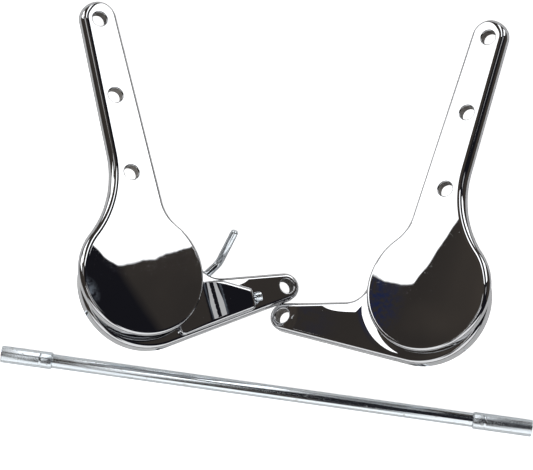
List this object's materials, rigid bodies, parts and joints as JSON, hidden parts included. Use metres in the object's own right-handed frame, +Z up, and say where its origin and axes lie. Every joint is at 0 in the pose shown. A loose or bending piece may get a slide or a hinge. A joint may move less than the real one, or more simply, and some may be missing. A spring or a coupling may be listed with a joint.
{
  "type": "seat recliner hinge set",
  "caption": "Mirrored chrome seat-recliner hinges with slotted release shafts, a hand lever and a loose connecting rod that joins the shafts.",
  "frame": {"origin": "centre of the bounding box on the flat surface that the pieces lie on", "axes": "+Z up from the surface, +X along the width of the laid-out set from the lever hinge to the plain hinge, +Y towards the ends of the back arms"},
  "size_m": [0.4034, 0.3298, 0.0876],
  "materials": {
    "connecting_rod": "zinc plate, satin bright",
    "connecting_rod_left_pin": "plain machined steel",
    "connecting_rod_left_sleeve": "zinc plate, satin bright",
    "connecting_rod_right_pin": "plain machined steel",
    "connecting_rod_right_sleeve": "zinc plate, satin bright",
    "lever_hinge_back_arm": "mirror chrome plate",
    "lever_hinge_bush": "sintered bronze",
    "lever_hinge_circlip": "plain machined steel",
    "lever_hinge_hub_pin": "plain machined steel",
    "lever_hinge_inner_guide": "plain machined steel",
    "lever_hinge_knob_stud": "zinc plate, satin bright",
    "lever_hinge_lock_cam": "plain machined steel",
    "lever_hinge_lock_shaft": "plain machined steel",
    "lever_hinge_lower_pawl": "plain machined steel",
    "lever_hinge_outer_guide": "plain machined steel",
    "lever_hinge_release_lever": "mirror chrome plate",
    "lever_hinge_release_rod": "zinc plate, satin bright",
    "lever_hinge_retaining_cup": "plain machined steel",
    "lever_hinge_return_spring": "oiled spring steel",
    "lever_hinge_rivet_1": "plain machined steel",
    "lever_hinge_rivet_2": "plain machined steel",
    "lever_hinge_rivet_3": "plain machined steel",
    "lever_hinge_rivet_4": "plain machined steel",
    "lever_hinge_rod_hub": "zinc plate, satin bright",
    "lever_hinge_seat_arm": "mirror chrome plate",
    "lever_hinge_tooth_ring": "plain machined steel",
    "lever_hinge_upper_pawl": "plain machined steel",
    "plain_hinge_back_arm": "mirror chrome plate",
    "plain_hinge_bush": "sintered bronze",
    "plain_hinge_circlip": "plain machined steel",
    "plain_hinge_inner_guide": "plain machined steel",
    "plain_hinge_lock_cam": "plain machined steel",
    "plain_hinge_lock_shaft": "plain machined steel",
    "plain_hinge_lower_pawl": "plain machined steel",
    "plain_hinge_outer_guide": "plain machined steel",
    "plain_hinge_retaining_cup": "plain machined steel",
    "plain_hinge_return_spring": "oiled spring steel",
    "plain_hinge_rivet_1": "plain machined steel",
    "plain_hinge_rivet_2": "plain machined steel",
    "plain_hinge_rivet_3": "plain machined steel",
    "plain_hinge_rivet_4": "plain machined steel",
    "plain_hinge_seat_arm": "mirror chrome plate",
    "plain_hinge_tooth_ring": "plain machined steel",
    "plain_hinge_upper_pawl": "plain machined steel"
  },
  "bodies": {
    "lever_seat_arm": {"lever_hinge_seat_arm": "lever_hinge_seat_arm", "lever_hinge_outer_guide": "lever_hinge_outer_guide", "lever_hinge_inner_guide": "lever_hinge_inner_guide", "lever_hinge_rivet_1": "lever_hinge_rivet_1", "lever_hinge_rivet_2": "lever_hinge_rivet_2", "lever_hinge_rivet_3": "lever_hinge_rivet_3", "lever_hinge_rivet_4": "lever_hinge_rivet_4", "lever_hinge_bush": "lever_hinge_bush", "lever_hinge_return_spring": "lever_hinge_return_spring"},
    "lever_back_arm": {"lever_hinge_back_arm": "lever_hinge_back_arm", "lever_hinge_tooth_ring": "lever_hinge_tooth_ring", "lever_hinge_retaining_cup": "lever_hinge_retaining_cup"},
    "lever_lock_shaft": {"lever_hinge_lock_shaft": "lever_hinge_lock_shaft", "lever_hinge_lock_cam": "lever_hinge_lock_cam", "lever_hinge_circlip": "lever_hinge_circlip", "lever_hinge_release_lever": "lever_hinge_release_lever", "lever_hinge_knob_stud": "lever_hinge_knob_stud", "lever_hinge_rod_hub": "lever_hinge_rod_hub", "lever_hinge_hub_pin": "lever_hinge_hub_pin", "lever_hinge_release_rod": "lever_hinge_release_rod"},
    "lever_upper_pawl": {"lever_hinge_upper_pawl": "lever_hinge_upper_pawl"},
    "lever_lower_pawl": {"lever_hinge_lower_pawl": "lever_hinge_lower_pawl"},
    "plain_seat_arm": {"plain_hinge_seat_arm": "plain_hinge_seat_arm", "plain_hinge_outer_guide": "plain_hinge_outer_guide", "plain_hinge_inner_guide": "plain_hinge_inner_guide", "plain_hinge_rivet_1": "plain_hinge_rivet_1", "plain_hinge_rivet_2": "plain_hinge_rivet_2", "plain_hinge_rivet_3": "plain_hinge_rivet_3", "plain_hinge_rivet_4": "plain_hinge_rivet_4", "plain_hinge_bush": "plain_hinge_bush", "plain_hinge_return_spring": "plain_hinge_return_spring"},
    "plain_back_arm": {"plain_hinge_back_arm": "plain_hinge_back_arm", "plain_hinge_tooth_ring": "plain_hinge_tooth_ring", "plain_hinge_retaining_cup": "plain_hinge_retaining_cup"},
    "plain_lock_shaft": {"plain_hinge_lock_shaft": "plain_hinge_lock_shaft", "plain_hinge_lock_cam": "plain_hinge_lock_cam", "plain_hinge_circlip": "plain_hinge_circlip"},
    "plain_upper_pawl": {"plain_hinge_upper_pawl": "plain_hinge_upper_pawl"},
    "plain_lower_pawl": {"plain_hinge_lower_pawl": "plain_hinge_lower_pawl"},
    "connecting_rod": {"connecting_rod": "connecting_rod", "connecting_rod_left_sleeve": "connecting_rod_left_sleeve", "connecting_rod_left_pin": "connecting_rod_left_pin", "connecting_rod_right_sleeve": "connecting_rod_right_sleeve", "connecting_rod_right_pin": "connecting_rod_right_pin"}
  },
  "joints": [
    {"name": "lever_recline", "type": "hinge", "parent": "lever_seat_arm", "child": "lever_back_arm", "pos_m": [-0.09335, -0.04122, 0.05895], "axis": [0.3562, 0.3075, 0.8824], "range_deg": [0, 60]},
    {"name": "lever_release", "type": "hinge", "parent": "lever_seat_arm", "child": "lever_lock_shaft", "pos_m": [-0.09335, -0.04122, 0.05895], "axis": [0.3562, 0.3075, 0.8824], "range_deg": [0, 20], "stiffness_Nm_per_rad": 1.2, "springref_deg": -20.05},
    {"name": "lever_upper_pawl_slide", "type": "slide", "parent": "lever_seat_arm", "child": "lever_upper_pawl", "axis": [0.2681, -0.9382, 0.2188], "range_m": [0, 0.0012]},
    {"name": "lever_lower_pawl_slide", "type": "slide", "parent": "lever_seat_arm", "child": "lever_lower_pawl", "axis": [-0.2681, 0.9382, -0.2188], "range_m": [0, 0.0012]},
    {"name": "plain_recline", "type": "hinge", "parent": "plain_seat_arm", "child": "plain_back_arm", "pos_m": [0.12055, -0.05305, 0.05567], "axis": [0.3812, -0.3239, -0.8659], "range_deg": [0, 60]},
    {"name": "plain_release", "type": "hinge", "parent": "plain_seat_arm", "child": "plain_lock_shaft", "pos_m": [0.12055, -0.05305, 0.05567], "axis": [0.3812, -0.3239, -0.8659], "range_deg": [0, 20], "stiffness_Nm_per_rad": 1.2, "springref_deg": -20.05},
    {"name": "plain_upper_pawl_slide", "type": "slide", "parent": "plain_seat_arm", "child": "plain_upper_pawl", "axis": [-0.186, -0.9444, 0.2713], "range_m": [0, 0.0012]},
    {"name": "plain_lower_pawl_slide", "type": "slide", "parent": "plain_seat_arm", "child": "plain_lower_pawl", "axis": [0.186, 0.9444, -0.2713], "range_m": [0, 0.0012]},
    {"name": "plain_hinge_lift_off", "type": "slide", "parent": "lever_seat_arm", "child": "plain_seat_arm", "axis": [0, 0, 1], "range_m": [0, 0.12]},
    {"name": "connecting_rod_lift_off", "type": "slide", "parent": "lever_seat_arm", "child": "connecting_rod", "axis": [0, 0, 1], "range_m": [0, 0.12]}
  ],
  "couplings": [
    {"joint": "lever_upper_pawl_slide", "follows": "lever_release", "m_per_rad": 0.00343},
    {"joint": "lever_lower_pawl_slide", "follows": "lever_release", "m_per_rad": 0.00343},
    {"joint": "plain_upper_pawl_slide", "follows": "plain_release", "m_per_rad": 0.00343},
    {"joint": "plain_lower_pawl_slide", "follows": "plain_release", "m_per_rad": 0.00343}
  ]
}
